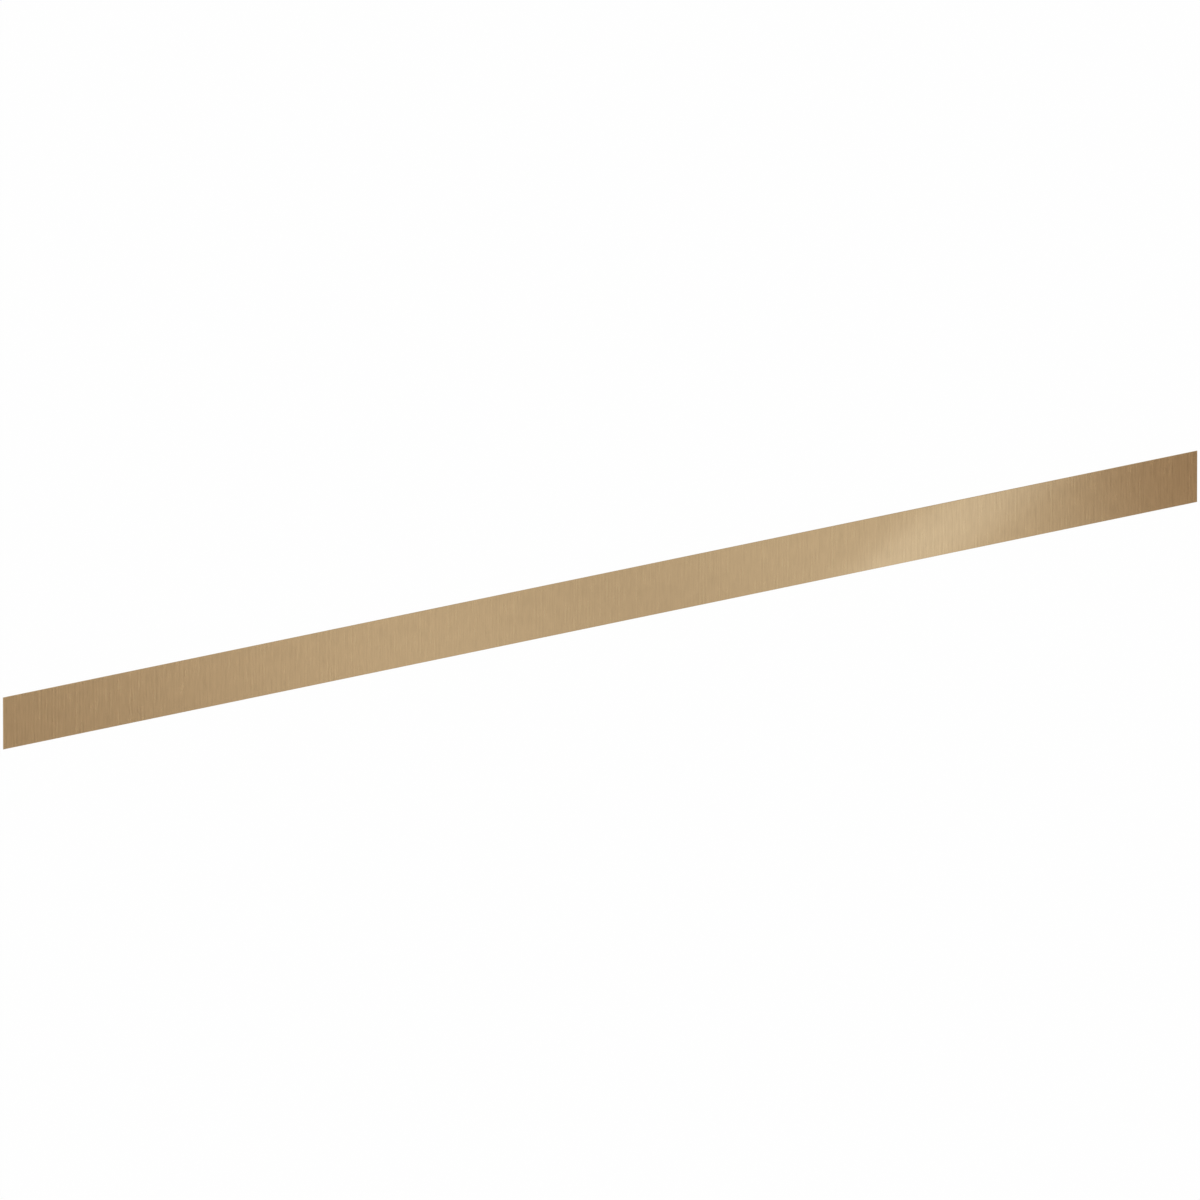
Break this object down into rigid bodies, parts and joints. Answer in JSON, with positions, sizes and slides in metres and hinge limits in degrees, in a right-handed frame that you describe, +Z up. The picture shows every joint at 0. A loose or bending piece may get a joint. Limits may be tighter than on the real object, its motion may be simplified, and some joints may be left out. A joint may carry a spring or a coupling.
{
  "type": "towel rail",
  "caption": "Long flat bar towel rail in brushed bronze with a bevelled back, held off the wall by concealed posts that slip over screwed wall bosses and lock with set screws.",
  "frame": {"origin": "on the wall plane, midway between the two wall screw holes", "axes": "+X along the rail to the right as seen from the room, +Y into the wall, +Z up"},
  "size_m": [0.9, 0.042, 0.0349],
  "materials": {
    "brushed_bronze": "brushed across the bar, bronze tone",
    "turned_bronze": "fine turned, bronze tone",
    "plain_brass": "as turned",
    "screw_steel": "plain stainless"
  },
  "bodies": {
    "root": {"rail_bar": "brushed_bronze", "left_post": "turned_bronze", "right_post": "turned_bronze", "left_wall_boss": "plain_brass", "right_wall_boss": "plain_brass", "left_post_screw": "screw_steel", "right_post_screw": "screw_steel", "left_grub_screw": "screw_steel", "right_grub_screw": "screw_steel"}
  },
  "joints": []
}
